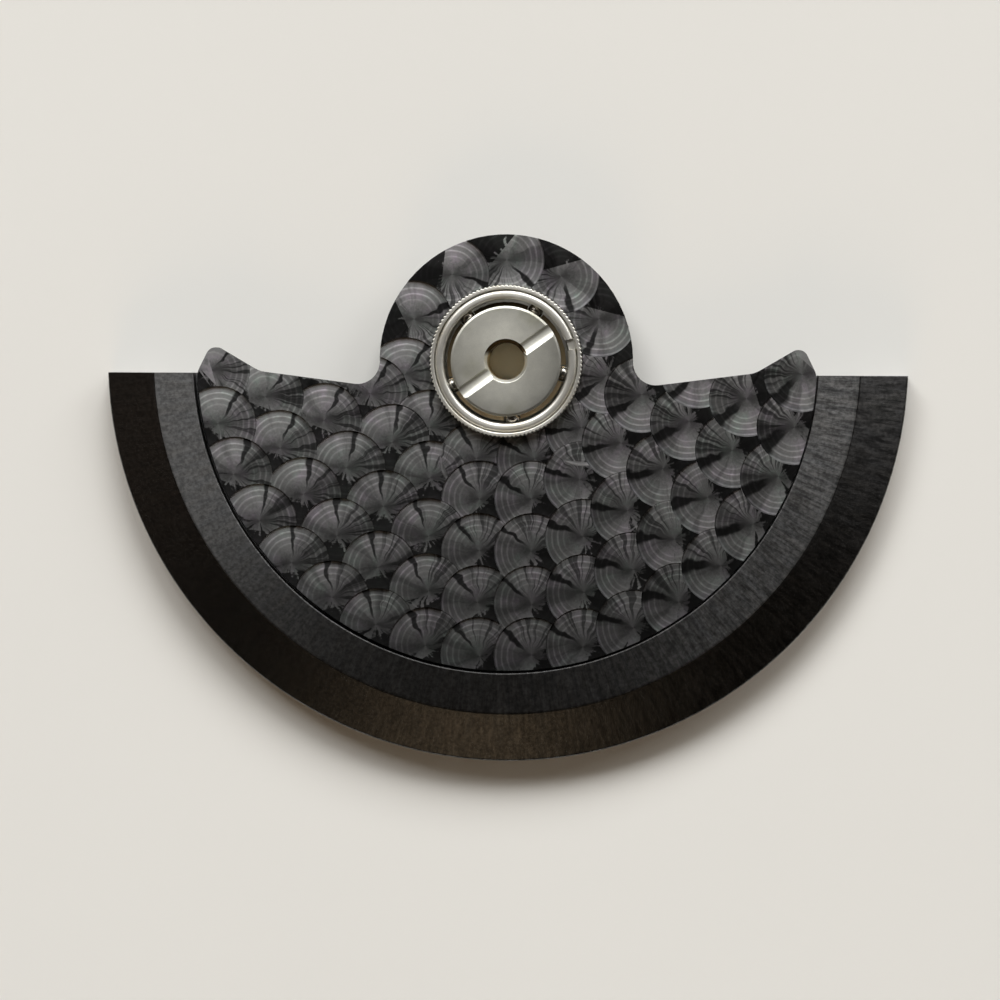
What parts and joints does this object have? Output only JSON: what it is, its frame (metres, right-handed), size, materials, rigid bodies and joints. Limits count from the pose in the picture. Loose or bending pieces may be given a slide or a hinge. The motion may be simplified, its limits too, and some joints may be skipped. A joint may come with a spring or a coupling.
{
  "type": "automatic watch rotor",
  "caption": "Half-round automatic watch rotor: black scale-engraved plate, bevelled heavy rim and a slotted centre ball bearing.",
  "frame": {"origin": "on the bearing's axis, in the plane of the inner race's seat and of the weight's flat underside", "axes": "+Z along the axis, toward the engraved face; the weight hangs toward -Y; +X to the right of the engraved face"},
  "size_m": [0.0264, 0.0174, 0.0018],
  "materials": {
    "black_weight": "satin",
    "black_plate": "satin",
    "ring_steel": "satin",
    "gear_steel": "satin",
    "cage_steel": "satin",
    "race_steel": "satin",
    "ball_steel": "polished"
  },
  "bodies": {
    "inner_race": {"inner_race_top": "race_steel", "inner_race_lower": "race_steel"},
    "rotor": {"rim_weight": "black_weight", "rotor_plate": "black_plate", "bearing_outer_ring": "ring_steel", "retaining_ring": "ring_steel", "rotor_gear": "gear_steel"},
    "cage": {"ball_cage": "cage_steel"},
    "ball_1": {"bearing_ball_1": "ball_steel"},
    "ball_2": {"bearing_ball_2": "ball_steel"},
    "ball_3": {"bearing_ball_3": "ball_steel"},
    "ball_4": {"bearing_ball_4": "ball_steel"},
    "ball_5": {"bearing_ball_5": "ball_steel"}
  },
  "joints": [
    {"name": "rotor_spin", "type": "hinge", "parent": "inner_race", "child": "rotor", "pos_m": [0, 0, 0], "axis": [0, 0, 1], "continuous": true},
    {"name": "cage_spin", "type": "hinge", "parent": "inner_race", "child": "cage", "pos_m": [0, 0, 0], "axis": [0, 0, 1], "continuous": true},
    {"name": "ball_1_spin", "type": "hinge", "parent": "cage", "child": "ball_1", "pos_m": [0.00095, 0.00167, 0.00125], "axis": [0, 0, 1], "continuous": true},
    {"name": "ball_2_spin", "type": "hinge", "parent": "cage", "child": "ball_2", "pos_m": [-0.00129, 0.00142, 0.00125], "axis": [0, 0, 1], "continuous": true},
    {"name": "ball_3_spin", "type": "hinge", "parent": "cage", "child": "ball_3", "pos_m": [-0.00175, -0.00079, 0.00125], "axis": [0, 0, 1], "continuous": true},
    {"name": "ball_4_spin", "type": "hinge", "parent": "cage", "child": "ball_4", "pos_m": [0.00021, -0.00191, 0.00125], "axis": [0, 0, 1], "continuous": true},
    {"name": "ball_5_spin", "type": "hinge", "parent": "cage", "child": "ball_5", "pos_m": [0.00188, -0.00039, 0.00125], "axis": [0, 0, 1], "continuous": true}
  ],
  "couplings": [
    {"joint": "cage_spin", "follows": "rotor_spin", "ratio": 0.54604},
    {"joint": "ball_1_spin", "follows": "rotor_spin", "ratio": 5.3845},
    {"joint": "ball_2_spin", "follows": "rotor_spin", "ratio": 5.3845},
    {"joint": "ball_3_spin", "follows": "rotor_spin", "ratio": 5.3845},
    {"joint": "ball_4_spin", "follows": "rotor_spin", "ratio": 5.3845},
    {"joint": "ball_5_spin", "follows": "rotor_spin", "ratio": 5.3845}
  ]
}
